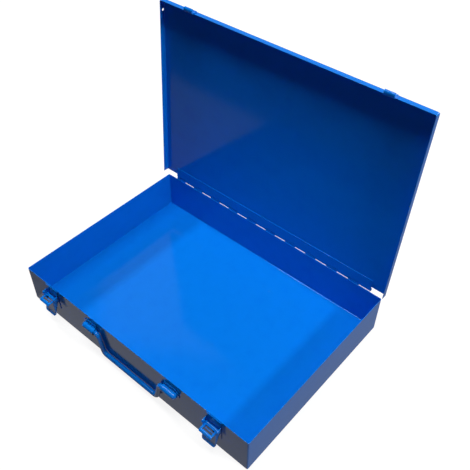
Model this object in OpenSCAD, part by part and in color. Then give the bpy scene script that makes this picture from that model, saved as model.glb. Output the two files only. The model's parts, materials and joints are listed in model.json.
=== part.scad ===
// Steel assortment case: a shallow sheet steel tray with a hinged lid, two draw latches and a bail handle.
// Millimetres. Origin at the centre of the base's underside, X along the front, Y to the back, Z up.

/* [Case] */
// Width of the body, left to right
body_w = 440; // [400:5:520]
// Depth of the body, front to back
body_d = 305; // [260:5:360]
// Height of the body walls
body_h = 68; // [66:1:90]
// Thickness of the case's steel sheet
sheet = 0.8; // [0.6:0.1:1]
// Outside radius of the sheet's folds
fold_r = 2; // [1.5:0.1:3]

/* [Lid] */
// How far the lid stands open
lid_open = 93.5; // [90:0.5:110]
// Depth of the lid's skirt, panel included
skirt_h = 10; // [9:0.5:11]
// Gap between the side walls and the lid's skirts
side_gap = 3.3; // [2:0.1:5]
// Gap between the front wall and the lid's front skirt
front_gap = 4.4; // [4:0.1:5]
// Distance from the hinge axis to the panel's rear edge
rear_edge = 7; // [5:0.5:8]
// Radius of the hanging hole in the left skirt
hole_r = 1.9; // [1.5:0.1:2.5]

/* [Hinge] */
// Length of one hinge knuckle
knuckle = 20; // [15:1:20]
// Number of knuckles on each leaf
knuckle_pairs = 10; // [6:1:10]
// Height of each hinge leaf from the axis
leaf_h = 20; // [14:1:24]
// Outside radius of the hinge barrel
barrel_r = 2.4; // [2.2:0.1:2.4]
// Radius of the hinge pin
pin_r = 1.3; // [1:0.1:1.4]

/* [Latches] */
// Distance of each latch from the case's middle
latch_x = 163; // [140:1:170]
// Width of the latch base
base_w = 26.8; // [24:0.4:32]
// Width of the loop's side bars
bar_w = 2.4; // [2:0.1:2.8]

/* [Handle] */
// How far the handle's middle is to the right of the case's middle
handle_x = 5.5; // [0:0.5:10]
// Distance of each saddle's inner end from the case's middle
saddle_x = 68.5; // [60:0.5:85]
// Half of the grip's length, measured at its bends
grip_half = 54.5; // [48:0.5:58]
// Drop from the saddles' axis to the grip
handle_drop = 37; // [30:1:40]
// Radius of the handle's rod
rod_r = 3.6; // [3:0.1:3.8]

/* [Hidden] */
$fn = 48;

paint = [0.02, 0.36, 0.82];
LEFT = -1;
RIGHT = 1;
slit = 0.3;        // gap between faces that move past each other
running = 0.05;    // radial gap of a turning pin
fixed = 0.02;      // radial gap of a pin that is held
over = 1;          // how far a cutter runs past what it cuts

// Hinge axis: the body leaf lies on the back wall, the closed lid's leaf clears the rim by one slit
leaf_t = sheet;
axis_y = body_d / 2 + barrel_r;
axis_z = body_h + slit + barrel_r;
hinge_l = 2 * knuckle * knuckle_pairs;
cut_back = barrel_r + slit;

// Closed lid
panel_in = axis_z - barrel_r + leaf_t;
panel_out = panel_in + sheet;
skirt_z = panel_out - skirt_h;
lid_w = body_w + 2 * (side_gap + sheet);
skirt_p = front_gap + sheet;
hole_front = 16;   // hanging hole, back from the front skirt's outer face
hole_down = 4;     // hanging hole, down from the panel's outer face

// Latch, in depths p in front of the front wall and heights z
plate_t = 1.2;
loop_t = 1.5;
base_t = 1;
base_top = body_h - 1.5;
base_bottom = body_h - 42;
loop_pin = [3.6, body_h - 20];
lever_pivot = [6.3, body_h - 15.8];
ear_r = 3.2;
ear_angle = 55;
cheek_r = 2.2;
heel_z = body_h - 24;
loop_pin_r = 1.2;
eye_r = 2.1;
pivot_r = 1.5;
ear_in = base_w / 2 - plate_t;
cheek_out = ear_in - slit;
cheek_in = cheek_out - plate_t;
loop_w = 2 * (cheek_in - slit);
window_w = loop_w - 2 * bar_w;
window_start = 3;
window_end = 10.2;
loop_end = 12.2;
lip_l = 3;
lip_angle = 50;
web_p = [8.8, 10];
web_top = loop_pin[1] - loop_t / 2 - slit;
web_bottom = body_h - 42;
neck_angle = 15;
tip_r = 12;
tip_angle = 38;
lever_l = 29.6;    // from the loop pin down to the lever's tip
corner_r = 4;

// Strike: a hook that hangs from the skirt's front face
strike_w = window_w - 1;
crook = 5;
crook_r = 0.6;
hook_bottom = body_h - 13;
lip_h = 3;

// Rivets
rivet_r = 1.5;
rivet_head_r = 2.6;
rivet_head_t = 1;
tail_t = 0.6;
tail_ratio = 0.85;
small_r = 1.2;
small_head_r = 2.2;

// Handle, in depths p in front of the front wall
rod_p = rod_r + 2 * slit;
saddle_in_r = rod_r + 0.1;
saddle_out_r = saddle_in_r + plate_t + 0.2;
saddle_z = body_h - 20;
saddle_h = 22;
dome_x = saddle_x + 20.5;
flange_end = dome_x + 8;
saddle_rivet = [saddle_x + 11.5, 8.2];
bend_cut = 5.6;    // how much of a corner its bend takes up
bend_x = saddle_x - 5.5;
arm_angle = atan2(handle_drop, bend_x - grip_half);
arm_l = norm([handle_drop, bend_x - grip_half]);
bend_r = bend_cut / tan(arm_angle / 2);
draw = 0.05;        // the straight lengths are drawn down a little finer than the bends
lap = 0.4;         // how far a straight length runs into a bend

// ---- helpers ----

// A flat outline with its lower corners rounded, centred on the first axis
module folded_outline(w, h, r) {
    translate([-w / 2 + r, 0]) square([w - 2 * r, h]);
    translate([-w / 2, r]) square([w, h - r]);
    for (side = [-1, 1]) translate([side * (w / 2 - r), r]) circle(r);
}

// A flat outline with all its corners rounded, centred on the first axis
module round_outline(w, h, r) {
    translate([-w / 2 + r, 0]) square([w - 2 * r, h]);
    translate([-w / 2, r]) square([w, h - 2 * r]);
    for (side = [-1, 1], up = [r, h - r]) translate([side * (w / 2 - r), up]) circle(r);
}

// Extrudes an outline drawn in Y and Z along X, centred on X = 0
module across(w) {
    translate([-w / 2, 0, 0]) rotate([90, 0, 90]) linear_extrude(w) children();
}

// A block with rounded folds along its lower and upright edges, the sheet's outside or inside form
module folded_block(w, d, h, r) {
    intersection() {
        across(w) folded_outline(d, h, r);
        translate([0, d / 2, 0]) rotate([90, 0, 0]) linear_extrude(d) folded_outline(w, h, r);
        translate([0, -d / 2, 0]) linear_extrude(h) round_outline(w, d, r);
    }
}

// The frame of the front wall's hardware: Y is the depth in front of the wall
module on_front(x) {
    translate([x, -body_d / 2, 0]) mirror([0, 1, 0]) children();
}

// Turns parts drawn with the lid closed to the lid's open place
module opened() {
    translate([0, axis_y, axis_z]) rotate([-lid_open, 0, 0]) translate([0, -axis_y, -axis_z]) children();
}

// A rod along X, centred on x
module rod_x(r, l, x = 0) {
    translate([x - l / 2, 0, 0]) rotate([0, 90, 0]) cylinder(r = r, h = l);
}

// Extrudes an outline drawn in X and Z out from the wall
module outward(t) {
    rotate([90, 0, 0]) mirror([0, 0, 1]) linear_extrude(t) children();
}

// A pin that stands on the plane Y = 0 and points to +Y
module peg(r, l) {
    rotate([-90, 0, 0]) cylinder(r = r, h = l);
}

// A low domed rivet head that stands on the plane Y = 0 and points to +Y
module rivet_head(r, t) {
    dome_r = (r * r + t * t) / (2 * t);
    rotate([-90, 0, 0]) rotate_extrude() intersection() {
        translate([0, t - dome_r]) circle(dome_r);
        square([r, t]);
    }
}

// A rivet through a stack of sheets from depth p0 to p1, with a domed head outside and a flat one inside
module rivet(r, head_r, p0, p1) {
    translate([0, p0, 0]) peg(r, p1 - p0);
    translate([0, p1, 0]) rivet_head(head_r, rivet_head_t);
    translate([0, p0 - tail_t, 0]) peg(tail_ratio * head_r, tail_t);
}

// A hole for such a rivet
module rivet_hole(r, p0, p1) {
    translate([0, p0 - over, 0]) peg(r + fixed, p1 - p0 + 2 * over);
}

// ---- places of the rivets ----

base_rivet_z = [body_h - 6, body_h - 36];
strike_rivet_x = 3.6;
strike_rivet_z = skirt_z + 4.6;

module at_base_rivets(side) {
    for (z = base_rivet_z) on_front(side * latch_x) translate([0, 0, z]) children();
}

module at_strike_rivets(side) {
    for (x = [-1, 1]) on_front(side * latch_x + x * strike_rivet_x)
        translate([0, 0, strike_rivet_z]) children();
}

module at_saddle_rivets(side) {
    for (up = [-1, 1]) on_front(handle_x + side * saddle_rivet[0])
        translate([0, 0, saddle_z + up * saddle_rivet[1]]) children();
}

// ---- case body and lid ----

module body_tray() {
    color(paint) difference() {
        folded_block(body_w, body_d, body_h, fold_r);
        translate([0, 0, sheet])
            folded_block(body_w - 2 * sheet, body_d - 2 * sheet, body_h, fold_r - sheet);
        for (side = [LEFT, RIGHT]) {
            at_base_rivets(side) rivet_hole(rivet_r, -sheet, 0);
            at_saddle_rivets(side) rivet_hole(small_r, -sheet, 0);
        }
    }
}

module lid_shell() {
    lid_front = body_d / 2 + skirt_p;
    lid_rear = axis_y - rear_edge;
    block_d = 2 * lid_front;
    color(paint) opened() difference() {
        intersection() {
            translate([0, 0, panel_out]) mirror([0, 0, 1]) folded_block(lid_w, block_d, skirt_h, fold_r);
            translate([-lid_w, -2 * lid_front, 0]) cube([2 * lid_w, 2 * lid_front + lid_rear, 2 * axis_z]);
        }
        translate([0, 0, panel_in]) mirror([0, 0, 1])
            folded_block(lid_w - 2 * sheet, block_d - 2 * sheet, skirt_h, fold_r - sheet);
        translate([-lid_w / 2 - over, -lid_front + hole_front, panel_out - hole_down])
            rotate([0, 90, 0]) cylinder(r = hole_r, h = sheet + 2 * over);
        for (side = [LEFT, RIGHT]) at_strike_rivets(side) rivet_hole(small_r, front_gap, skirt_p);
    }
}

// ---- piano hinge ----

// One leaf, drawn hanging straight down from the axis on its -Y side, its knuckles shifted by first
module hinge_leaf(first) {
    difference() {
        union() {
            translate([-hinge_l / 2, -barrel_r, -leaf_h]) cube([hinge_l, leaf_t, leaf_h]);
            for (i = [0 : knuckle_pairs - 1])
                rod_x(barrel_r, knuckle - slit, -hinge_l / 2 + (2 * i + first + 0.5) * knuckle);
        }
        for (i = [0 : knuckle_pairs - 1])
            translate([(2 * i + 1 - first) * knuckle - (hinge_l + slit) / 2, -barrel_r - over, -cut_back])
                cube([knuckle + slit, 2 * (barrel_r + over), cut_back + barrel_r + over]);
        rod_x(pin_r + running, hinge_l + 2 * over);
    }
}

module hinge_body_leaf() {
    color(paint) translate([0, axis_y, axis_z]) hinge_leaf(0);
}

module hinge_lid_leaf() {
    color(paint) opened() translate([0, axis_y, axis_z]) mirror([0, 1, -1]) hinge_leaf(1);
}

module hinge_pin() {
    color(paint) translate([0, axis_y, axis_z]) rod_x(pin_r, hinge_l);
}

// ---- draw latches ----

// Side outline of an ear, its lower edge tangent to the round end
module ear_outline() {
    touch = lever_pivot + ear_r * [cos(ear_angle), -sin(ear_angle)];
    foot_z = touch[1] - touch[0] / tan(ear_angle);
    top_z = lever_pivot[1] + ear_r;
    translate(lever_pivot) circle(ear_r);
    polygon([[0, foot_z], touch, lever_pivot, [lever_pivot[0], top_z], [0, top_z]]);
}

module latch_base(side) {
    color(paint) on_front(side * latch_x) difference() {
        union() {
            outward(base_t) translate([0, base_bottom])
                round_outline(base_w, base_top - base_bottom, fold_r);
            for (x = [-1, 1]) translate([x * (base_w - plate_t) / 2, 0, 0])
                across(plate_t) ear_outline();
        }
        translate([0, lever_pivot[0], lever_pivot[1]]) rod_x(pivot_r + fixed, base_w + over);
        for (z = base_rivet_z) translate([0, 0, z]) rivet_hole(rivet_r, 0, base_t);
    }
}

module latch_base_rivets(side) {
    color(paint) at_base_rivets(side) rivet(rivet_r, rivet_head_r, -sheet, base_t);
}

// Two stub rivets, one through each ear and the lever's cheek beside it
module latch_pivots(side) {
    shank_l = base_w / 2 - cheek_in;
    color(paint) on_front(side * latch_x) for (x = [-1, 1])
        translate([x * base_w / 2, lever_pivot[0], lever_pivot[1]]) rotate([0, 0, -90 * x]) {
            rivet_head(rivet_head_r, rivet_head_t);
            translate([0, -shank_l, 0]) peg(pivot_r, shank_l);
        }
}

// Side outline of the lever's cheeks, round about the lever's pivot and the loop's pin
module cheek_outline() {
    along = (lever_pivot - loop_pin) / norm(lever_pivot - loop_pin);
    back = cheek_r * [-along[1], along[0]];
    neck = cheek_r * [cos(neck_angle), sin(neck_angle)];
    translate(lever_pivot) circle(cheek_r);
    translate(loop_pin) circle(cheek_r);
    polygon([lever_pivot + back, loop_pin + back, loop_pin - [cheek_r, 0],
        [loop_pin[0] - cheek_r, heel_z], [web_p[0], web_bottom], [web_p[1], web_bottom],
        [web_p[1], web_top], lever_pivot + neck, lever_pivot]);
}

// Side outline of the lever's web and its curled tip
module web_outline() {
    reach = 2 * tip_r;
    translate([web_p[0], web_bottom]) square([web_p[1] - web_p[0], web_top - web_bottom]);
    translate([web_p[1] + tip_r, web_bottom]) difference() {
        intersection() {
            circle(tip_r + plate_t);
            polygon([[0, 0], [-reach, 0], [-reach * cos(tip_angle), -reach * sin(tip_angle)]]);
        }
        circle(tip_r);
    }
}

module latch_lever(side) {
    color(paint) on_front(side * latch_x) difference() {
        union() {
            for (x = [-1, 1]) translate([x * (cheek_in + plate_t / 2), 0, 0])
                across(plate_t) cheek_outline();
            intersection() {
                across(2 * cheek_out) web_outline();
                outward(2 * tip_r) translate([0, loop_pin[1] - lever_l])
                    round_outline(2 * cheek_out, 2 * lever_l, corner_r);
            }
        }
        translate([0, lever_pivot[0], lever_pivot[1]]) rod_x(pivot_r + running, base_w);
        translate([0, loop_pin[0], loop_pin[1]]) rod_x(loop_pin_r + fixed, base_w);
    }
}

module latch_loop_pin(side) {
    color(paint) on_front(side * latch_x) translate([0, loop_pin[0], loop_pin[1]])
        rod_x(loop_pin_r, 2 * cheek_out);
}

// Side outline of the loop's plate with its bent lip, outward from the pin
module loop_outline() {
    half = loop_t / 2;
    mitre = half * tan(lip_angle / 2);
    end = [loop_end + lip_l * cos(lip_angle), -lip_l * sin(lip_angle)];
    square_on = half * [sin(lip_angle), cos(lip_angle)];
    polygon([[0, -half], [loop_end - mitre, -half], end - square_on, end + square_on,
        [loop_end + mitre, half], [0, half]]);
}

// The loop lies level, fallen forward on the lever
module latch_loop(side) {
    color(paint) on_front(side * latch_x) translate([0, loop_pin[0], loop_pin[1]]) difference() {
        union() {
            rod_x(eye_r, loop_w);
            across(loop_w) loop_outline();
        }
        translate([-window_w / 2, window_start, -loop_t])
            cube([window_w, window_end - window_start, 2 * loop_t]);
        rod_x(loop_pin_r + running, loop_w + over);
    }
}

// ---- strikes on the lid ----

// Side outline of the hook: a flange on the skirt, a round bottom and a short lip
module hook_outline() {
    hook_w = crook + 2 * plate_t;
    flange_h = panel_out - fold_r - hook_bottom;
    translate([skirt_p + hook_w / 2, hook_bottom]) difference() {
        folded_outline(hook_w, flange_h, crook_r + plate_t);
        translate([0, plate_t]) folded_outline(crook, flange_h, crook_r);
        translate([crook / 2 - over, lip_h]) square([plate_t + 2 * over, flange_h]);
    }
}

module strike(side) {
    color(paint) opened() on_front(side * latch_x) difference() {
        across(strike_w) hook_outline();
        for (x = [-1, 1]) translate([x * strike_rivet_x, 0, strike_rivet_z])
            rivet_hole(small_r, skirt_p, skirt_p + plate_t);
    }
}

module strike_rivets(side) {
    color(paint) opened() at_strike_rivets(side) rivet(small_r, small_head_r, front_gap, skirt_p + plate_t);
}

// ---- handle ----

// One side of the bail: saddle end, upper bend, arm and lower bend, drawn in X and Y from the saddles' axis
module bail_side() {
    end_l = dome_x - bend_x - bend_cut;
    translate([dome_x, 0, 0]) rod_x(rod_r - draw, end_l + lap, -(end_l + lap) / 2);
    translate([bend_x + bend_cut, -bend_r, 0]) rotate(90) bend();
    translate([bend_x, 0, 0]) rotate(180 + arm_angle)
        rod_x(rod_r - draw, arm_l - 2 * (bend_cut - lap), arm_l / 2);
    translate([grip_half - bend_cut, bend_r - handle_drop, 0]) rotate(-90) bend();
}

// A bend of the rod through the arm's angle
module bend() {
    rotate_extrude(angle = arm_angle) translate([bend_r, 0]) circle(rod_r);
}

module handle_bail() {
    color(paint) on_front(handle_x) translate([0, rod_p, saddle_z]) rotate([90, 0, 0]) {
        bail_side();
        mirror([1, 0, 0]) bail_side();
        translate([0, -handle_drop, 0]) rod_x(rod_r - draw, 2 * (grip_half - bend_cut + lap));
    }
}

// Half section of the saddle's arch, X out from its middle and Y away from the wall
module half_arch(r, p0) {
    translate([0, p0]) square([r, rod_p - p0]);
    translate([0, rod_p]) intersection() {
        circle(r);
        square(r);
    }
}

// An arch along the rod from x0 to the centre of its round end
module arch(r, x0, p0) {
    translate([(x0 + dome_x) / 2, 0, 0]) rotate([0, 90, 0]) for (half = [0, 1]) mirror([half, 0, 0])
        translate([0, 0, (x0 - dome_x) / 2]) linear_extrude(dome_x - x0) half_arch(r, p0);
    translate([dome_x, 0, 0]) rotate([-90, 0, 0]) rotate_extrude() half_arch(r, p0);
}

// A pressed saddle: a flange on the wall with an arch over the rod's end
module saddle(side) {
    flange_r = saddle_h / 2;
    turn = side == LEFT ? 180 : 0;
    color(paint) on_front(handle_x) translate([0, 0, saddle_z]) rotate([0, turn, 0]) difference() {
        union() {
            outward(plate_t) {
                translate([saddle_x, -flange_r]) square([flange_end - flange_r - saddle_x, saddle_h]);
                translate([flange_end - flange_r, 0]) circle(flange_r);
            }
            arch(saddle_out_r, saddle_x, 0);
        }
        arch(saddle_in_r, saddle_x - over, -over);
        for (up = [-1, 1]) translate([saddle_rivet[0], 0, up * saddle_rivet[1]])
            rivet_hole(small_r, 0, plate_t);
    }
}

module saddle_rivets(side) {
    color(paint) at_saddle_rivets(side) rivet(small_r, small_head_r, -sheet, plate_t);
}

body_tray();
lid_shell();
hinge_body_leaf();
hinge_lid_leaf();
hinge_pin();
latch_base(LEFT);  // latch_base_left
latch_base(RIGHT);  // latch_base_right
latch_base_rivets(LEFT);  // latch_base_rivets_left
latch_base_rivets(RIGHT);  // latch_base_rivets_right
latch_pivots(LEFT);  // latch_pivots_left
latch_pivots(RIGHT);  // latch_pivots_right
latch_lever(LEFT);  // latch_lever_left
latch_lever(RIGHT);  // latch_lever_right
latch_loop_pin(LEFT);  // latch_loop_pin_left
latch_loop_pin(RIGHT);  // latch_loop_pin_right
latch_loop(LEFT);  // latch_loop_left
latch_loop(RIGHT);  // latch_loop_right
strike(LEFT);  // strike_left
strike(RIGHT);  // strike_right
strike_rivets(LEFT);  // strike_rivets_left
strike_rivets(RIGHT);  // strike_rivets_right
handle_bail();
saddle(LEFT);  // handle_saddle_left
saddle(RIGHT);  // handle_saddle_right
saddle_rivets(LEFT);  // saddle_rivets_left
saddle_rivets(RIGHT);  // saddle_rivets_right
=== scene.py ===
"""Looks of a blue enamelled steel case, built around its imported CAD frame.

Metres, in the frame's own axes: X to the right along the front, Y to the hinge, Z up. The hardware is drawn
in millimetres in the front wall's terms: x across, p out from the wall, z up.
"""

import json
import math

import bmesh
import bpy
from mathutils import Matrix, Vector
from mathutils.geometry import convex_hull_2d


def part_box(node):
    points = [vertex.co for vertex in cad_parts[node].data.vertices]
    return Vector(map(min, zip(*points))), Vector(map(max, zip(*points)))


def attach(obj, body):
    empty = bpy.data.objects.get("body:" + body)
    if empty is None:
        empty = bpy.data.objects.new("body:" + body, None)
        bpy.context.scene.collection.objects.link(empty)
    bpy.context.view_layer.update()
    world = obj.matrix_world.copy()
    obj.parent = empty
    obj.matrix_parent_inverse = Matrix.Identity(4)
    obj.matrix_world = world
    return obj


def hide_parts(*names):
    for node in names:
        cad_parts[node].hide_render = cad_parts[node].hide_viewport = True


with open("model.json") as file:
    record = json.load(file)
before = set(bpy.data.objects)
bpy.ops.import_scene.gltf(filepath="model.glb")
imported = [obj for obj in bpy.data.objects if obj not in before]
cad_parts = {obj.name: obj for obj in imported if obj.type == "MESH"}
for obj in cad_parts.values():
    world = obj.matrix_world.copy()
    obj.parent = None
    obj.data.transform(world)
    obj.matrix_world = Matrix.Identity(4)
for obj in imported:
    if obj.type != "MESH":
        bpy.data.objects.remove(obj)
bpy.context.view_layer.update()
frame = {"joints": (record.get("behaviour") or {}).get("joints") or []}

MM = 0.001
MERGE = 1e-5         # drawn points closer than this are one point
SLIVER = 1e-6        # drawn edges shorter than this are dropped
MERGE_PLACED = 1e-7  # placed points closer than this, in metres, are one point
SIDES = ("left", "right")
JOINTS = {joint["name"]: joint for joint in frame["joints"]}


def joint_place(name):
    return Vector(JOINTS[name]["pos_m"])


def box(node):
    low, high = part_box(node)
    return Vector(low), Vector(high)


# ---- places and sizes, from the frame ----

tray_low, tray_high = box("body_tray")
front_y = tray_low.y
hinge_at = joint_place("lid_hinge")
opening = math.radians(JOINTS["lid_hinge"]["range_deg"][1])
OPEN = Matrix.Translation(hinge_at) @ Matrix.Rotation(-opening, 4, "X") @ Matrix.Translation(-hinge_at)


def wall_terms(point):
    """(p, z) in millimetres of a point beside the front wall."""
    return Vector(((front_y - point.y) / MM, point.z / MM))


PIVOT = wall_terms(joint_place("left_lever_pivot"))
LOOP_PIN = wall_terms(joint_place("left_loop_pivot"))
GRIP_AXIS = wall_terms(joint_place("handle_swing"))
handle_x = joint_place("handle_swing").x
RIM_Z = tray_high.z / MM
latch_x = {side: joint_place(f"{side}_lever_pivot").x for side in SIDES}

# Sheet metal, millimetres
SHEET = 0.8
FOLD_R = 2.0
PLATE = 1.2
SLIT = 0.3  # between parts that turn past each other
HAIR = 0.01  # keeps two lines apart that would otherwise fall together
PAN_COUNTS = (22, 16, 6)  # faces along the width, along the depth and round each fold

# Softened edges, millimetres
PAN_EDGE = 0.22
LEAF_EDGE = 0.14
PLATE_EDGE = 0.25
PRESSED_EDGE = 0.28
LOOP_EDGE = 0.3
SHARP_ANGLE = 38      # degrees; only edges sharper than this are softened
SHADING_WEIGHT = 80   # over 50, so that large faces set the shading of the edges beside them

# Lid, millimetres
SKIRT_H = 10.0
SKIRT_P = 5.2
SIDE_GAP = 3.3  # from the tray's side to the inside of the lid's skirt
LID_HALF_W = tray_high.x / MM + SIDE_GAP + SHEET
REAR_EDGE = 7.0
HOLE_R = 1.9
HOLE_FRONT = 16.0
HOLE_DOWN = 4.0

# Hinge, millimetres
BARREL_R = 2.4
LEAF_H = 20.0
KNUCKLE = 20.0
KNUCKLE_PAIRS = 10
PIN_R = 1.3
PIN_CHAMFER = 0.3
CURL_ANGLE = 318
CURL_STEPS = 26

# Latches, millimetres
BASE_HALF_W = 13.4
BASE_T = 1.0
BASE_Z = (RIM_Z - 42, RIM_Z - 1.5)
BASE_FOLD_R = (1.3, 0.3)  # outside and inside of the ears' folds
BASE_CORNER_R = 2.5
EAR_R = 3.2
EAR_ANGLE = 55
EAR_FILLET = 1.5
EAR_FOOT = 8.8  # from the pivot down to where the ears meet the plate
CHEEK_R = 2.2
CHEEK_FOLD_R = (1.5, 0.4)
CHEEK_HALF_W = BASE_HALF_W - PLATE - SLIT
HEEL_Z = RIM_Z - 24
WEB_P = (8.8, 10.0)  # the lever's front: its inner and outer face
WEB_Z = (BASE_Z[0], LOOP_PIN.y - 1.05)
TIP_R = 12.0
TIP_ANGLE = 38
TIP_Z = LOOP_PIN.y - 29.6
TIP_CORNER_R = 4
TIP_LAP = 2.5  # how far the tip's strip runs up inside the lever's front
SHOULDER_IN = 1.2
SHOULDER_Z = (WEB_Z[0] - 1.5, WEB_Z[0] + 3)
SHOULDER_R = 3
LOOP_PIN_R = 1.2
LOOP_PIN_CHAMFER = 0.25
LOOP_HALF_W = CHEEK_HALF_W - PLATE - SLIT
LOOP_T = 1.5
EYE_R = 2.1
WINDOW_HALF_W = 8.0
WINDOW = (3.0, 10.2)  # from the loop's pin, as is LOOP_END
WINDOW_CORNER_R = 0.9
LOOP_END = 12.2
LIP_L = 3.0
LIP_ANGLE = 50
LIP_BEND_R = (0.8, 2.2)   # inside and outside of the bend
LIP_END_R = 0.35
LIP_CORNER_R = 2.0
STRIKE_HALF_W = 7.5
CROOK = 5.0  # the clear width inside the hook
HOOK_Z = (RIM_Z - 13, RIM_Z - 10)
STRIKE_TOP = RIM_Z - 0.1
STRIKE_BEND_R = 2.3
STRIKE_CORNER_R = 2.0

# Rivets, millimetres. Sizes are the shank's and the head's radius
LARGE_RIVET = (1.5, 2.6)
SMALL_RIVET = (1.2, 2.2)
BASE_RIVET_Z = (RIM_Z - 6, RIM_Z - 36)
STRIKE_RIVET = (3.6, RIM_Z - 3.5)
SADDLE_RIVET = (80.0, 8.2)
HEAD_T = 1.0
HEAD_LIP = 0.12
TAIL_T = 0.6
TAIL_CHAMFER = 0.15
TAIL_SHARE = 0.85       # a tail's radius as a share of its head's
STUB_TAIL_SHARE = 0.7
STUB_PROUD = 0.12       # ends stand proud, so that no two faces lie in one plane
PIN_PROUD = 0.1

# Handle, millimetres
ROD_R = 3.6
ROD_END_R = 0.4
SADDLE_X = 68.5  # from the middle of the handle, as are DOME_X, BEND_X and GRIP_HALF
DOME_X = 89.0
SADDLE_HALF_H = 11.0
SADDLE_CORNER_R = 1.0
FLANGE_END = 8.0  # past DOME_X
ARCH_R = 5.1
CHANNEL_R = 3.7
SADDLE_FILLET = 0.4
BEND_X = 63.0
GRIP_HALF = 54.5
DROP = 37.0  # from the axis down to the grip
BEND_R = 7.03


# ---- outlines in two dimensions ----

def arc(centre, radius, start, end, steps):
    """Points on an arc, angles in degrees."""
    angles = (math.radians(start + (end - start) * i / steps) for i in range(steps + 1))
    return [Vector((centre[0] + radius * math.cos(a), centre[1] + radius * math.sin(a))) for a in angles]


def rounded(corners, closed=True, steps=6):
    """The outline through corners (u, v, radius), each rounded by an arc of its radius."""
    points = []
    count = len(corners)
    for i, (u, v, radius) in enumerate(corners):
        here = Vector((u, v))
        if radius == 0 or (not closed and i in (0, count - 1)):
            points.append(here)
            continue
        before = (Vector(corners[i - 1][:2]) - here).normalized()
        after = (Vector(corners[(i + 1) % count][:2]) - here).normalized()
        half = before.angle(after) / 2
        centre = here + (before + after).normalized() * radius / math.sin(half)
        first = here + before * radius / math.tan(half) - centre
        last = here + after * radius / math.tan(half) - centre
        sweep = math.atan2(first.cross(last), first.dot(last))
        for k in range(steps + 1):
            turn = Matrix.Rotation(sweep * k / steps, 2)
            points.append(centre + turn @ first)
    return points


def thicken(path, thickness):
    """The closed outline of a strip along an open path."""
    left, right = [], []
    for i, point in enumerate(path):
        into = (point - path[i - 1]).normalized() if i > 0 else None
        out = (path[i + 1] - point).normalized() if i < len(path) - 1 else None
        into = into or out
        out = out or into
        along = (into + out).normalized()
        normal = Vector((-along.y, along.x)) * thickness / 2 / along.dot(into)
        left.append(point + normal)
        right.append(point - normal)
    return left + right[::-1]


def hull(points):
    return [points[i] for i in convex_hull_2d(points)]


def box_outline(low_u, high_u, low_v, high_v, radii):
    """A rectangle whose corners have radii for low-low, high-low, high-high and low-high."""
    corners = ((low_u, low_v), (high_u, low_v), (high_u, high_v), (low_u, high_v))
    return rounded([(u, v, radius) for (u, v), radius in zip(corners, radii)])


# ---- meshes ----

def across(x, u, v):
    return Vector((x, u, v))


def outward(p, u, v):
    return Vector((u, p, v))


def upright(z, u, v):
    return Vector((u, v, z))


def prism(outline, start, end, place):
    """An outline extruded from start to end. place(w, u, v) says how its axes lie."""
    mesh = bmesh.new()
    rings = [[mesh.verts.new(place(w, point.x, point.y)) for point in outline] for w in (start, end)]
    mesh.faces.new(rings[0])
    mesh.faces.new(rings[1])
    for i in range(len(outline)):
        k = (i + 1) % len(outline)
        mesh.faces.new((rings[0][i], rings[0][k], rings[1][k], rings[1][i]))
    return mesh


def clean_up(mesh):
    bmesh.ops.remove_doubles(mesh, verts=mesh.verts, dist=MERGE)
    bmesh.ops.dissolve_degenerate(mesh, edges=mesh.edges, dist=SLIVER)


def as_object(mesh, name="piece"):
    """Makes an object of a bmesh in whatever unit it is drawn, with its normals outward."""
    bmesh.ops.remove_doubles(mesh, verts=mesh.verts, dist=MERGE)
    bmesh.ops.recalc_face_normals(mesh, faces=mesh.faces)
    data = bpy.data.meshes.new(name)
    mesh.to_mesh(data)
    mesh.free()
    obj = bpy.data.objects.new(name, data)
    bpy.context.collection.objects.link(obj)
    return obj


def apply_modifiers(obj):
    made = obj.evaluated_get(bpy.context.evaluated_depsgraph_get())
    data = bpy.data.meshes.new_from_object(made)
    obj.modifiers.clear()
    old = obj.data
    obj.data = data
    bpy.data.meshes.remove(old)


def combine(obj, tool, operation):
    """Boolean of two closed objects; the tool is used up.

    A tool runs a few millimetres past the piece wherever its end should not show.
    """
    boolean = obj.modifiers.new("boolean", "BOOLEAN")
    boolean.operation = operation
    boolean.solver = "EXACT"
    boolean.object = tool
    apply_modifiers(obj)
    bpy.data.objects.remove(tool)


def solid(outline, start, end, place):
    return as_object(prism(outline, start, end, place))


def revolve(profile, steps=40):
    """A closed mesh of a profile (radius, height) turned about the p axis."""
    mesh = bmesh.new()
    rings = []
    for i in range(steps):
        turn = 2 * math.pi * i / steps
        rings.append([mesh.verts.new((r * math.cos(turn), h, r * math.sin(turn))) for r, h in profile])
    for i in range(steps):
        near, far = rings[i], rings[(i + 1) % steps]
        for k in range(len(profile) - 1):
            mesh.faces.new((near[k], near[k + 1], far[k + 1], far[k]))
    clean_up(mesh)
    return mesh


def rod_across(radius, half_length, chamfer, centre):
    """A pin along x with chamfered ends."""
    profile = [(0, -half_length), (radius - chamfer, -half_length), (radius, chamfer - half_length),
               (radius, half_length - chamfer), (radius - chamfer, half_length), (0, half_length)]
    pin = as_object(revolve(profile, 24))
    for vertex in pin.data.vertices:
        x, y, z = vertex.co
        vertex.co = Vector((y + centre.x, x + centre.y, z + centre.z))
    return pin


def join(objects):
    mesh = bmesh.new()
    for obj in objects:
        mesh.from_mesh(obj.data)
        bpy.data.objects.remove(obj)
    return mesh


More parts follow.
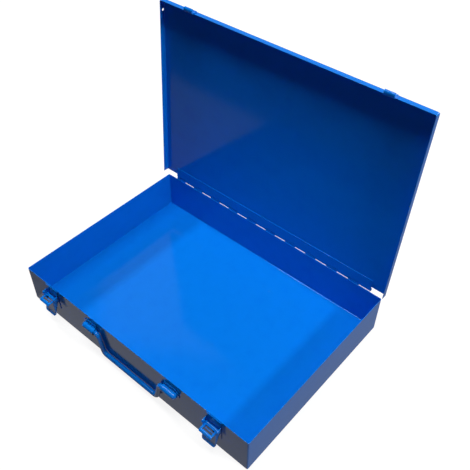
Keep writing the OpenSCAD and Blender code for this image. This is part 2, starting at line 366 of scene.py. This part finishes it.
def finish_piece(obj, name, body, slot, edge, lid=False, x=0.0, wall=True, segments=3):
    """Places a drawn piece in the frame, softens its edges, and says what it stands for."""
    data = obj.data
    for vertex in data.vertices:
        spot = vertex.co
        if wall:
            spot = Vector((x + spot.x * MM, front_y - spot.y * MM, spot.z * MM))
        else:
            spot = Vector(spot) * MM
        vertex.co = OPEN @ spot if lid else spot
    mesh = bmesh.new()
    mesh.from_mesh(data)
    bmesh.ops.remove_doubles(mesh, verts=mesh.verts, dist=MERGE_PLACED)
    bmesh.ops.recalc_face_normals(mesh, faces=mesh.faces)
    mesh.to_mesh(data)
    mesh.free()
    data.shade_smooth()
    obj.name = f"{name}_looks"
    if edge:
        bevel = obj.modifiers.new("soft edges", "BEVEL")
        bevel.width = edge * MM
        bevel.segments = segments
        bevel.limit_method = "ANGLE"
        bevel.angle_limit = math.radians(SHARP_ANGLE)
        bevel.miter_outer = "MITER_ARC"
    shading = obj.modifiers.new("even shading", "WEIGHTED_NORMAL")
    shading.keep_sharp = True
    shading.weight = SHADING_WEIGHT
    data.materials.clear()
    data.materials.append(MATERIALS[slot])
    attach(obj, body)
    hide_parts(name)


# ---- enamel ----

BLUE = (0.0010, 0.182, 0.715, 1.0)
BLUE_THIN = (0.0014, 0.184, 0.740, 1.0)
BLUE_DEEP = (0.0008, 0.169, 0.700, 1.0)
PAINT_IOR = 1.5
GLOSS = (0.095, 0.135)     # lowest and highest roughness
NIB_SCALE = 55
NIB_R = 0.035              # as a share of the nibs' spacing
NIB_HEIGHT = 0.00002       # metres, like every height here
CASE_PEEL, CASE_WAVE = 0.000006, 0.00035
HARDWARE_PEEL, HARDWARE_WAVE = 0.000008, 0.0001
# Noises, as scale, detail and roughness
FILM_NOISE = (45, 5, 0.62)
GLOSS_NOISE = (140, 4, 0.5)
WAVE_NOISE = (9, 1, 0.4)
PEEL_NOISE = (850, 2, 0.5)
# Where the film's noise turns from deep to plain to thin, and the range that the gloss noise covers
FILM_STOPS = (0.28, 0.5, 0.74)
GLOSS_RANGE = (0.3, 0.7)


def enamel(name, peel_depth, sheet_wave):
    """Gloss enamel: orange peel, a slight waviness of the sheet, uneven film and a few dust nibs."""
    material = bpy.data.materials.new(name)
    material.use_nodes = True
    tree = material.node_tree
    nodes, links = tree.nodes, tree.links
    shader = nodes["Principled BSDF"]
    shader.inputs["IOR"].default_value = PAINT_IOR
    where = nodes.new("ShaderNodeTexCoord")

    def noise(scale, detail, rough):
        node = nodes.new("ShaderNodeTexNoise")
        node.inputs["Scale"].default_value = scale
        node.inputs["Detail"].default_value = detail
        node.inputs["Roughness"].default_value = rough
        links.new(where.outputs["Object"], node.inputs["Vector"])
        return node.outputs["Fac"]

    def ramp(source, stops):
        node = nodes.new("ShaderNodeValToRGB")
        node.color_ramp.elements[0].position = stops[0][0]
        node.color_ramp.elements[0].color = stops[0][1]
        node.color_ramp.elements[1].position = stops[-1][0]
        node.color_ramp.elements[1].color = stops[-1][1]
        for position, colour in stops[1:-1]:
            node.color_ramp.elements.new(position).color = colour
        links.new(source, node.inputs["Fac"])
        return node.outputs["Color"]

    def spread(source, low, high, to_low, to_high):
        node = nodes.new("ShaderNodeMapRange")
        node.inputs["From Min"].default_value = low
        node.inputs["From Max"].default_value = high
        node.inputs["To Min"].default_value = to_low
        node.inputs["To Max"].default_value = to_high
        links.new(source, node.inputs["Value"])
        return node.outputs["Result"]

    def bump(height, distance, before=None):
        node = nodes.new("ShaderNodeBump")
        node.inputs["Strength"].default_value = 1.0
        node.inputs["Distance"].default_value = distance
        links.new(height, node.inputs["Height"])
        if before is not None:
            links.new(before, node.inputs["Normal"])
        return node.outputs["Normal"]

    colour = ramp(noise(*FILM_NOISE), list(zip(FILM_STOPS, (BLUE_DEEP, BLUE, BLUE_THIN))))
    links.new(colour, shader.inputs["Base Color"])
    links.new(spread(noise(*GLOSS_NOISE), *GLOSS_RANGE, *GLOSS), shader.inputs["Roughness"])

    nibs = nodes.new("ShaderNodeTexVoronoi")
    nibs.inputs["Scale"].default_value = NIB_SCALE
    links.new(where.outputs["Object"], nibs.inputs["Vector"])
    nib_height = spread(nibs.outputs["Distance"], 0.0, NIB_R, 1.0, 0.0)

    normal = bump(noise(*WAVE_NOISE), sheet_wave)
    normal = bump(noise(*PEEL_NOISE), peel_depth, normal)
    normal = bump(nib_height, NIB_HEIGHT, normal)
    links.new(normal, shader.inputs["Normal"])
    return material


MATERIALS = {
    "case_enamel": enamel("case enamel", CASE_PEEL, CASE_WAVE),
    "hardware_enamel": enamel("hardware enamel", HARDWARE_PEEL, HARDWARE_WAVE),
}


# ---- tray and lid: folded pans ----

def ring(half_w, y0, y1, radius, closed):
    """Points round a pan's walls, from the left wall's back end by the front to the right wall's."""
    nx, ny, corner_steps = PAN_COUNTS

    def side(start, end, count):
        return [start.lerp(end, i / count) for i in range(count + 1)]

    def corner(x, y, start):
        return arc((x, y), radius, start, start + 90, corner_steps)[1:-1]

    back = radius if closed else 0.0
    points = side(Vector((-half_w, y1 - back)), Vector((-half_w, y0 + radius)), ny)
    points += corner(-half_w + radius, y0 + radius, 180)
    points += side(Vector((-half_w + radius, y0)), Vector((half_w - radius, y0)), nx)
    points += corner(half_w - radius, y0 + radius, 270)
    points += side(Vector((half_w, y0 + radius)), Vector((half_w, y1 - back)), ny)
    if closed:
        points += corner(half_w - radius, y1 - radius, 0)
        points += side(Vector((half_w - radius, y1)), Vector((-half_w + radius, y1)), nx)
        points += corner(-half_w + radius, y1 - radius, 90)
    return points


def pan(half_w, y0, y1, height, place_z, closed):
    """A folded sheet pan, floor at height 0 and rim at height. place_z turns a height into z."""
    mesh = bmesh.new()
    nx, ny, steps = PAN_COUNTS
    skins = []
    for inset, radius in ((0.0, FOLD_R), (SHEET, FOLD_R - SHEET)):
        levels = [(0.0, radius, height), (0.0, radius, height * 0.5)]
        for k in range(steps + 1):
            a = math.radians(90 * k / steps)
            pulled = radius * (1 - math.cos(a))
            levels.append((pulled, radius - pulled, inset + radius * (1 - math.sin(a))))
        rings = []
        for pulled, corner_r, level in levels:
            step_in = inset + pulled
            rear = y1 - step_in if closed else y1
            outline = ring(half_w - step_in, y0 + step_in, rear, max(corner_r, 0.0), closed)
            rings.append([mesh.verts.new((point.x, point.y, place_z(level))) for point in outline])
        count = len(rings[0])
        for upper, lower in zip(rings, rings[1:]):
            for i in range(count if closed else count - 1):
                k = (i + 1) % count
                mesh.faces.new((upper[i], upper[k], lower[k], lower[i]))
        edge = inset + radius
        rear = y1 - edge if closed else y1
        grid = []
        for j in range(ny + 1):
            y = rear + (y0 + edge - rear) * j / ny
            across_x = [-half_w + edge + (2 * (half_w - edge)) * i / nx for i in range(nx + 1)]
            grid.append([mesh.verts.new((x, y, place_z(inset))) for x in across_x])
        for j in range(ny):
            for i in range(nx):
                mesh.faces.new((grid[j][i], grid[j][i + 1], grid[j + 1][i + 1], grid[j + 1][i]))
        skins.append((rings, grid))
    outer, inner = skins[0][0][0], skins[1][0][0]
    count = len(outer)
    for i in range(count if closed else count - 1):
        k = (i + 1) % count
        mesh.faces.new((outer[i], outer[k], inner[k], inner[i]))
    if not closed:
        seams = []
        for rings, grid in skins:
            seams.append([r[0] for r in rings] + grid[0] + [r[-1] for r in reversed(rings)])
        for i in range(len(seams[0]) - 1):
            quad = (seams[0][i], seams[0][i + 1], seams[1][i + 1], seams[1][i])
            if (quad[0].co - quad[1].co).length > SLIVER:
                mesh.faces.new(quad)
    return mesh


def make_tray():
    half_w = tray_high.x / MM
    y0, y1 = tray_low.y / MM, tray_high.y / MM
    mesh = pan(half_w, y0, y1, RIM_Z, lambda level: level, True)
    tray = as_object(mesh)
    finish_piece(tray, "body_tray", "case", "case_enamel", PAN_EDGE, wall=False, segments=2)


def make_lid():
    axis_y, axis_z = hinge_at.y / MM, hinge_at.z / MM
    panel_out = axis_z - BARREL_R + 2 * SHEET
    y0 = front_y / MM - SKIRT_P
    mesh = pan(LID_HALF_W, y0, axis_y - REAR_EDGE, SKIRT_H, lambda level: panel_out - level, False)
    lid = as_object(mesh)
    drill = arc((y0 + HOLE_FRONT, panel_out - HOLE_DOWN), HOLE_R, 0, 360, 32)[:-1]
    combine(lid, solid(drill, -LID_HALF_W - 2, -LID_HALF_W + 2, across), "DIFFERENCE")
    finish_piece(lid, "lid_shell", "lid", "case_enamel", PAN_EDGE, lid=True, wall=False, segments=2)


# ---- piano hinge ----

def leaf_mesh(first):
    """A leaf with rolled knuckles. Drawn hanging from the axis: x along, y across, z up, axis at 0."""
    mesh = bmesh.new()
    middle = BARREL_R - SHEET / 2
    cut_back = BARREL_R + SLIT
    straight = [Vector((-middle, z)) for z in (-LEAF_H, -LEAF_H / 2, -cut_back, -BARREL_R / 2, 0.0)]
    curl = arc((0, 0), middle, 180, 180 - CURL_ANGLE, CURL_STEPS)[1:]
    path = straight + curl
    outline = thicken(path, SHEET)
    left, right = outline[: len(path)], outline[len(path):][::-1]
    cut_index = 2  # where the path reaches -cut_back
    spans = []
    start = -KNUCKLE * KNUCKLE_PAIRS
    for i in range(2 * KNUCKLE_PAIRS):
        own = i % 2 == first
        low = start + i * KNUCKLE + (SLIT / 2 if own else -SLIT / 2)
        high = start + (i + 1) * KNUCKLE + (-SLIT / 2 if own else SLIT / 2)
        spans.append((max(low, start), min(high, start + 2 * KNUCKLE * KNUCKLE_PAIRS), own))
    for low, high, own in spans:
        last = len(path) - 1 if own else cut_index
        rows = []
        for x in (low, high):
            faces = (left[: last + 1], right[: last + 1])
            rows.append([[mesh.verts.new((x, q.x, q.y)) for q in part] for part in faces])
        for near, far in zip(*rows):
            for k in range(last):
                mesh.faces.new((near[k], near[k + 1], far[k + 1], far[k]))
        for k in (0, last):
            mesh.faces.new((rows[0][0][k], rows[0][1][k], rows[1][1][k], rows[1][0][k]))
        # Between knuckles the flat of the leaf runs on, so there only the curl is closed.
        for row in rows:
            outer_end = row is rows[0] and low == start or row is rows[1] and high == -start
            for k in range(0 if outer_end else cut_index, last):
                mesh.faces.new((row[0][k], row[0][k + 1], row[1][k + 1], row[1][k]))
    return mesh


def make_hinge():
    centre = hinge_at / MM
    leaves = (("hinge_body_leaf", "case", 0, False), ("hinge_lid_leaf", "lid", 1, True))
    for node, body, first, lid in leaves:
        leaf = as_object(leaf_mesh(first))
        for vertex in leaf.data.vertices:
            x, y, z = vertex.co
            if lid:
                y, z = z, y
            vertex.co = Vector((x + centre.x, y + centre.y, z + centre.z))
        finish_piece(leaf, node, body, "hardware_enamel", LEAF_EDGE, lid=lid, wall=False, segments=2)
    pin = rod_across(PIN_R, KNUCKLE * KNUCKLE_PAIRS, PIN_CHAMFER, centre)
    finish_piece(pin, "hinge_pin", "case", "hardware_enamel", 0, wall=False)


# ---- rivets ----

def rivet(x, z, size, p0, p1, tail_share=TAIL_SHARE):
    """A rivet in wall terms: a domed head outside, its shank through the plates, a flat tail inside."""
    radius, head_r = size
    dome_r = (head_r ** 2 + HEAD_T ** 2) / (2 * HEAD_T)
    reach = math.degrees(math.asin(head_r / dome_r))
    dome = [(q.x, q.y) for q in arc((0, p1 + HEAD_T - dome_r), dome_r, 90, 90 - reach, 10)]
    tail_r = tail_share * head_r
    profile = dome + [(head_r - HEAD_LIP, p1), (radius, p1), (radius, p0), (tail_r, p0)]
    end = p0 - TAIL_T
    profile += [(tail_r, end + TAIL_CHAMFER), (tail_r - TAIL_CHAMFER, end), (0, end)]
    mesh = revolve(profile)
    bmesh.ops.translate(mesh, verts=mesh.verts, vec=(x, 0, z))
    return as_object(mesh)


def finish_rivets(rivets, node, body, x, lid=False):
    finish_piece(as_object(join(rivets)), node, body, "hardware_enamel", 0, lid=lid, x=x)


def make_stub(k):
    """The stub rivet through one ear, k being -1 or 1, and the lever's cheek beside it."""
    stub = rivet(0, 0, LARGE_RIVET, -2 * PLATE - SLIT + TAIL_T - STUB_PROUD, 0, STUB_TAIL_SHARE)
    turn = Matrix.Rotation(math.radians(-90 * k), 4, "Z")
    for vertex in stub.data.vertices:
        vertex.co = turn @ vertex.co + Vector((k * BASE_HALF_W, PIVOT.x, PIVOT.y))
    return stub


def make_rivets():
    for side in SIDES:
        centre = latch_x[side]
        sign = 1 if centre > 0 else -1
        base = [rivet(0, z, LARGE_RIVET, -SHEET, BASE_T) for z in BASE_RIVET_Z]
        finish_rivets(base, f"latch_base_rivets_{side}", "case", centre)
        x, z = STRIKE_RIVET
        hook = [rivet(k * x, z, SMALL_RIVET, SKIRT_P - SHEET, SKIRT_P + PLATE) for k in (-1, 1)]
        finish_rivets(hook, f"strike_rivets_{side}", "lid", centre, lid=True)
        x, up = SADDLE_RIVET
        saddle = [rivet(sign * x, GRIP_AXIS.y + k * up, SMALL_RIVET, -SHEET, PLATE) for k in (-1, 1)]
        finish_rivets(saddle, f"saddle_rivets_{side}", "case", handle_x)
        finish_rivets([make_stub(k) for k in (-1, 1)], f"latch_pivots_{side}", "case", centre)


# ---- latches ----

def make_base(side):
    """A plate with two ears folded out of its sides."""
    w, t, reach = BASE_HALF_W, BASE_T, PIVOT.x + EAR_R + 1
    outer_r, inner_r = BASE_FOLD_R
    channel = rounded([(-w, reach, 0), (-w, 0, outer_r), (w, 0, outer_r), (w, reach, 0),
                       (w - PLATE, reach, 0), (w - PLATE, t, inner_r), (PLATE - w, t, inner_r),
                       (PLATE - w, reach, 0)])
    base = solid(channel, BASE_Z[0], BASE_Z[1], upright)
    nose = arc(PIVOT, EAR_R, -EAR_ANGLE, 90, 12)
    foot_z = PIVOT.y - EAR_FOOT
    silhouette = [Vector((-1, BASE_Z[0] - 1)), Vector((t, BASE_Z[0] - 1)), Vector((t, foot_z))]
    silhouette += nose
    silhouette += arc((t + EAR_FILLET, PIVOT.y + EAR_R + EAR_FILLET), EAR_FILLET, 270, 180, 5)
    silhouette += [Vector((t, BASE_Z[1] + 1)), Vector((-1, BASE_Z[1] + 1))]
    combine(base, solid(silhouette, -w - 1, w + 1, across), "INTERSECT")
    plate = box_outline(-w, w, BASE_Z[0], BASE_Z[1], (BASE_CORNER_R,) * 4)
    combine(base, solid(plate, -1, reach + 1, outward), "INTERSECT")
    finish_piece(base, f"latch_base_{side}", "case", "hardware_enamel", PLATE_EDGE, x=latch_x[side])


def make_lever(side):
    """A channel about the loop's pin that runs out into a curled finger tip."""
    w = CHEEK_HALF_W
    inner_p, outer_p = WEB_P
    outer_r, inner_r = CHEEK_FOLD_R
    channel = rounded([(-w, 0, 0), (-w, outer_p, outer_r), (w, outer_p, outer_r), (w, 0, 0),
                       (w - PLATE, 0, 0), (w - PLATE, inner_p, inner_r), (PLATE - w, inner_p, inner_r),
                       (PLATE - w, 0, 0)])
    lever = solid(channel, WEB_Z[0] - 1, PIVOT.y + 4, upright)
    corners = [Vector((LOOP_PIN.x - CHEEK_R, HEEL_Z)), Vector((inner_p, WEB_Z[0])),
               Vector((outer_p + 1, WEB_Z[0]))]
    cheek = hull(arc(PIVOT, CHEEK_R, 0, 360, 36) + arc(LOOP_PIN, CHEEK_R, 0, 360, 36)
                 + corners + [Vector((outer_p + HAIR, WEB_Z[1]))])
    combine(lever, solid(cheek, -w - 1, w + 1, across), "INTERSECT")
    notch = [Vector((inner_p - 8, WEB_Z[1])), Vector((outer_p + 5, WEB_Z[1])),
             Vector((outer_p + 5, RIM_Z)), Vector((inner_p - 8, RIM_Z))]
    combine(lever, solid(notch, PLATE - w, w - PLATE, across), "DIFFERENCE")
    middle = (inner_p + outer_p) / 2
    start = Vector((middle, WEB_Z[0] + TIP_LAP))
    curl = arc((outer_p + TIP_R, WEB_Z[0]), TIP_R + PLATE / 2, 180, 180 + TIP_ANGLE, 14)
    tip = solid(thicken([start] + curl, PLATE), -w - 1, w + 1, across)
    low, high = SHOULDER_Z
    blade = rounded([(-w + SHOULDER_IN, high, 0), (-w, low, SHOULDER_R), (-w, TIP_Z, TIP_CORNER_R),
                     (w, TIP_Z, TIP_CORNER_R), (w, low, SHOULDER_R), (w - SHOULDER_IN, high, 0)])
    combine(tip, solid(blade, 0, 3 * TIP_R, outward), "INTERSECT")
    combine(lever, tip, "UNION")
    finish_piece(lever, f"latch_lever_{side}", f"{side}_lever", "hardware_enamel", PRESSED_EDGE,
                 x=latch_x[side])


def make_loop_pin(side):
    centre = Vector((0, LOOP_PIN.x, LOOP_PIN.y))
    pin = rod_across(LOOP_PIN_R, CHEEK_HALF_W + PIN_PROUD, LOOP_PIN_CHAMFER, centre)
    finish_piece(pin, f"latch_loop_pin_{side}", f"{side}_lever", "hardware_enamel", 0, x=latch_x[side])


def make_loop(side):
    """A plate with a round eye, a window for the strike and a bent lip."""
    w, half = LOOP_HALF_W, LOOP_T / 2
    start = math.degrees(math.asin(half / EYE_R))
    bend = math.radians(LIP_ANGLE)
    mitre = half * math.tan(bend / 2)
    end = Vector((LOOP_END + LIP_L * math.cos(bend), -LIP_L * math.sin(bend)))
    square_on = half * Vector((math.sin(bend), math.cos(bend)))
    neck = EYE_R * math.cos(math.radians(start))
    inner_r, outer_r = LIP_BEND_R
    tail = [(neck, -half, 0), (LOOP_END - mitre, -half, inner_r), (*(end - square_on), LIP_END_R),
            (*(end + square_on), LIP_END_R), (LOOP_END + mitre, half, outer_r), (neck, half, 0)]
    profile = arc((0, 0), EYE_R, start, 360 - start, 30)[:-1] + rounded(tail, closed=False)[:-1]
    moved = [q + LOOP_PIN for q in profile]
    loop = solid(moved, -w, w, across)
    p = LOOP_PIN.x
    window = box_outline(-WINDOW_HALF_W, WINDOW_HALF_W, p + WINDOW[0], p + WINDOW[1],
                         (WINDOW_CORNER_R,) * 4)
    combine(loop, solid(window, LOOP_PIN.y - 5, LOOP_PIN.y + 5, upright), "DIFFERENCE")
    trim = box_outline(-w, w, p - 5, p + LOOP_END + LIP_L, (0, 0, LIP_CORNER_R, LIP_CORNER_R))
    combine(loop, solid(trim, LOOP_PIN.y - 8, LOOP_PIN.y + 5, upright), "INTERSECT")
    finish_piece(loop, f"latch_loop_{side}", f"{side}_loop", "hardware_enamel", LOOP_EDGE,
                 x=latch_x[side])


def make_strike(side):
    """A hook folded from one strip: flange, round bottom and short lip."""
    p0, p1 = SKIRT_P + PLATE / 2, SKIRT_P + 1.5 * PLATE + CROOK
    bottom = HOOK_Z[0] + PLATE / 2
    w, bend_r, corner_r = STRIKE_HALF_W, STRIKE_BEND_R, STRIKE_CORNER_R
    corners = [(p0, STRIKE_TOP, 0), (p0, bottom, bend_r), (p1, bottom, bend_r), (p1, HOOK_Z[1], 0)]
    path = rounded(corners, closed=False, steps=10)
    strike = solid(thicken(path, PLATE), -w, w, across)
    face = box_outline(-w, w, HOOK_Z[0] - 3, STRIKE_TOP, (0, 0, corner_r, corner_r))
    combine(strike, solid(face, SKIRT_P - 1, p1 + 3, outward), "INTERSECT")
    finish_piece(strike, f"strike_{side}", "lid", "hardware_enamel", PRESSED_EDGE, lid=True,
                 x=latch_x[side])


# ---- handle ----

def tube(path, radius, steps=28):
    """A closed round rod along a path of 3-D points, its ends slightly rounded."""
    mesh = bmesh.new()
    ends = ((path[0] - path[1]).normalized(), (path[-1] - path[-2]).normalized())
    stations = [(path[0], 0.0), (path[0], radius - ROD_END_R), (path[0] - ends[0] * ROD_END_R, radius)]
    stations += [(point, radius) for point in path[1:-1]]
    stations += [(path[-1] - ends[1] * ROD_END_R, radius), (path[-1], radius - ROD_END_R)]
    stations.append((path[-1], 0.0))
    points = [spot for spot, _ in stations]
    rings = []
    for i, (spot, r) in enumerate(stations):
        near = next((point for point in points[:i][::-1] if (point - spot).length > SLIVER), None)
        far = next((point for point in points[i + 1:] if (point - spot).length > SLIVER), None)
        into = (spot - near).normalized() if near is not None else None
        out = (far - spot).normalized() if far is not None else None
        along = ((into or out) + (out or into)).normalized()
        side = Vector((0, 1, 0))
        up = along.cross(side).normalized()
        turns = [2 * math.pi * k / steps for k in range(steps)]
        rings.append([mesh.verts.new(spot + (side * math.cos(a) + up * math.sin(a)) * r) for a in turns])
    for near, far in zip(rings, rings[1:]):
        for k in range(steps):
            mesh.faces.new((near[k], near[(k + 1) % steps], far[(k + 1) % steps], far[k]))
    clean_up(mesh)
    return mesh


def make_bail():
    top, low = GRIP_AXIS.y, GRIP_AXIS.y - DROP
    corners = [(-DOME_X, top, 0), (-BEND_X, top, BEND_R), (-GRIP_HALF, low, BEND_R),
               (GRIP_HALF, low, BEND_R), (BEND_X, top, BEND_R), (DOME_X, top, 0)]
    path = [Vector((q.x, GRIP_AXIS.x, q.y)) for q in rounded(corners, closed=False, steps=12)]
    bail = as_object(tube(path, ROD_R))
    finish_piece(bail, "handle_bail", "handle", "hardware_enamel", 0, x=handle_x)


def sweep_round_end(profile, start_x, end_x, steps=24):
    """A half profile (radius, p), swept straight from start_x to end_x and turned there to return."""
    mesh = bmesh.new()
    stations = []
    for k in range(steps + 1):
        a = math.radians(90 - 180 * k / steps)
        stations.append((end_x, math.cos(a), math.sin(a)))
    stations = [(start_x, 0.0, 1.0)] + stations + [(start_x, 0.0, -1.0)]
    rows = [[mesh.verts.new((x + r * c, p, r * s)) for r, p in profile] for x, c, s in stations]
    count = len(profile)
    for near, far in zip(rows, rows[1:]):
        for k in range(count - 1):
            mesh.faces.new((near[k], near[k + 1], far[k + 1], far[k]))
    clean_up(mesh)
    holes = [edge for edge in mesh.edges if edge.is_boundary]
    bmesh.ops.holes_fill(mesh, edges=holes, sides=0)
    return mesh


def make_saddle(side):
    """A pressed plate: a flange on the wall, blended into an arch over the rod's end."""
    sign = 1 if side == "right" else -1
    reach = SADDLE_HALF_H + 6
    fillet = SADDLE_FILLET
    rod_p = GRIP_AXIS.x
    outer = [(q.x, q.y) for q in arc((0, rod_p), ARCH_R, 90, 0, 10)]
    outer += [(q.x, q.y) for q in arc((ARCH_R + fillet, PLATE + fillet), fillet, 180, 270, 6)]
    outer += [(reach, PLATE), (reach, 0), (0, 0)]
    saddle = as_object(sweep_round_end(outer, SADDLE_X, DOME_X))
    inner = [(q.x, q.y) for q in arc((0, rod_p), CHANNEL_R, 90, 0, 10)] + [(CHANNEL_R, -1), (0, -1)]
    combine(saddle, as_object(sweep_round_end(inner, SADDLE_X - 2, DOME_X)), "DIFFERENCE")
    h = SADDLE_HALF_H
    radii = (SADDLE_CORNER_R, h - HAIR, h - HAIR, SADDLE_CORNER_R)
    outline = box_outline(SADDLE_X, DOME_X + FLANGE_END, -h, h, radii)
    combine(saddle, solid(outline, -2, 12, outward), "INTERSECT")
    for vertex in saddle.data.vertices:
        vertex.co = Vector((sign * vertex.co.x, vertex.co.y, vertex.co.z + GRIP_AXIS.y))
    finish_piece(saddle, f"handle_saddle_{side}", "case", "hardware_enamel", PLATE_EDGE, x=handle_x)


make_tray()
make_lid()
make_hinge()
make_rivets()
for side in SIDES:
    make_base(side)
    make_lever(side)
    make_loop_pin(side)
    make_loop(side)
    make_strike(side)
    make_saddle(side)
make_bail()


# ---- stage: floor, lights, camera ----

WHITE = (1.0, 1.0, 1.0, 1.0)
BLACK = (0.0, 0.0, 0.0, 1.0)
FLOOR_GREY = (0.16, 0.16, 0.16, 1.0)
PALE_GLOW = 0.88
FLOOR_HALF = 30.0
FLOOR_Z = -0.0002
CARD_Z = -0.0001
CARD_REACH = 1.5
CARD_FRONT = front_y - 0.078
BACKDROP_R = 20.0
BACKDROP_Z = (-6.0, 14.0)
BACKDROP_STEPS = 64

# Softboxes: name, place, what it faces, size in metres, watts
LIGHTS = (
    ("overhead", (0.0, -0.2, 4.0), (0.0, -0.2, 0.0), (3.6, 0.6), 99),
    ("left", (-1.6, 0.1, 1.25), (0.0, 0.0, 0.0), (0.2, 0.2), 18),
    ("right", (1.5, 0.1, 1.4), (0.0, 0.0, 0.0), (0.2, 0.2), 15),
    ("far left", (-1.4, 2.2, 2.2), (0.0, 0.0, 0.1), (2.4, 2.0), 3),
    ("front", (0.9, -2.4, 0.8), (0.0, -0.15, 0.0), (1.5, 1.0), 2.5),
    ("rear", (0.4, 2.6, 1.1), (0.0, 0.15, 0.15), (1.6, 1.0), 30),
)
ROOM_COLOUR = (0.5, 0.7, 1.0, 1.0)
ROOM_STRENGTH = 0.02


def glowing(name, colour, base, strength):
    """A matt surface that gives off light of its own, so that it looks evenly lit."""
    material = bpy.data.materials.new(name)
    material.use_nodes = True
    shader = material.node_tree.nodes["Principled BSDF"]
    shader.inputs["Base Color"].default_value = base
    shader.inputs["Roughness"].default_value = 0.9
    shader.inputs["Specular IOR Level"].default_value = 0.0
    shader.inputs["Emission Color"].default_value = colour
    shader.inputs["Emission Strength"].default_value = strength
    return material


def sheet(name, low, high, z, material):
    """A level rectangle of the stage, which throws no diffuse light on the case."""
    mesh = bmesh.new()
    spots = ((low[0], low[1]), (high[0], low[1]), (high[0], high[1]), (low[0], high[1]))
    mesh.faces.new([mesh.verts.new((x, y, z)) for x, y in spots])
    made = as_object(mesh, name)
    made.data.materials.append(material)
    made.visible_diffuse = False
    return made


def make_floor():
    """The floor that the camera sees, and darker glowing cards above it that only reflections see, so that
    the case's gloss shows a painted reflection.
    """
    floor = sheet("floor", (-FLOOR_HALF, -FLOOR_HALF), (FLOOR_HALF, FLOOR_HALF), FLOOR_Z,
                  glowing("pale floor", WHITE, FLOOR_GREY, PALE_GLOW))
    floor.visible_glossy = False
    edge = tray_high.x
    # Name, low corner, high corner and brightness of the painted reflection
    cards = (("front_card", (-edge - 0.05, CARD_FRONT), (edge + 0.2, front_y), 0.42),
             ("left_card", (-CARD_REACH, CARD_FRONT), (-edge, CARD_REACH), 0.2),
             ("right_card", (edge, CARD_FRONT), (CARD_REACH, CARD_REACH), 0.32),
             ("back_card", (-edge, tray_high.y), (edge, CARD_REACH), 0.3))
    for name, low, high, brightness in cards:
        card = sheet(name, low, high, CARD_Z, glowing(name, WHITE, BLACK, brightness))
        card.visible_camera = False
        card.visible_shadow = False


def make_backdrop():
    """A pale round wall far behind everything, so that low views see no dark horizon."""
    mesh = bmesh.new()
    turns = [2 * math.pi * i / BACKDROP_STEPS for i in range(BACKDROP_STEPS)]
    spots = [(BACKDROP_R * math.cos(a), BACKDROP_R * math.sin(a)) for a in turns]
    rings = [[mesh.verts.new((x, y, z)) for x, y in spots] for z in BACKDROP_Z]
    for i in range(BACKDROP_STEPS):
        k = (i + 1) % BACKDROP_STEPS
        mesh.faces.new((rings[0][i], rings[0][k], rings[1][k], rings[1][i]))
    wall = as_object(mesh, "backdrop")
    wall.data.materials.append(glowing("pale wall", WHITE, BLACK, PALE_GLOW))
    wall.visible_diffuse = False
    wall.visible_glossy = False
    wall.visible_shadow = False


def softbox(name, at, look_at, size, power):
    light = bpy.data.lights.new(name, "AREA")
    light.shape = "RECTANGLE"
    light.size, light.size_y = size
    light.energy = power
    lamp = bpy.data.objects.new(name, light)
    bpy.context.collection.objects.link(lamp)
    lamp.location = at
    lamp.rotation_euler = (Vector(look_at) - Vector(at)).to_track_quat("-Z", "Y").to_euler()


def make_lights():
    for light in LIGHTS:
        softbox(*light)
    world = bpy.data.worlds.new("room")
    world.use_nodes = True
    background = world.node_tree.nodes["Background"]
    background.inputs["Color"].default_value = ROOM_COLOUR
    background.inputs["Strength"].default_value = ROOM_STRENGTH
    bpy.context.scene.world = world


# The photo's view: place in metres, direction, roll in degrees, lens and sensor in millimetres
CAMERA_AT = (0.4502, -0.4566, 0.7930)
CAMERA_LOOK = (-0.46206, 0.54704, -0.69802)
CAMERA_ROLL = 0.87
LENS = 49.26
SENSOR_W = 36


def make_camera():
    camera = bpy.data.cameras.new("camera")
    camera.lens = LENS
    camera.sensor_width = SENSOR_W
    camera.clip_start = 0.01
    stand = bpy.data.objects.new("camera", camera)
    bpy.context.collection.objects.link(stand)
    stand.location = CAMERA_AT
    aim = Vector(CAMERA_LOOK).to_track_quat("-Z", "Y").to_matrix().to_4x4()
    stand.rotation_euler = (aim @ Matrix.Rotation(math.radians(CAMERA_ROLL), 4, "Z")).to_euler()
    bpy.context.scene.camera = stand


make_floor()
make_backdrop()
make_lights()
make_camera()
bpy.context.scene.view_settings.view_transform = "Standard"
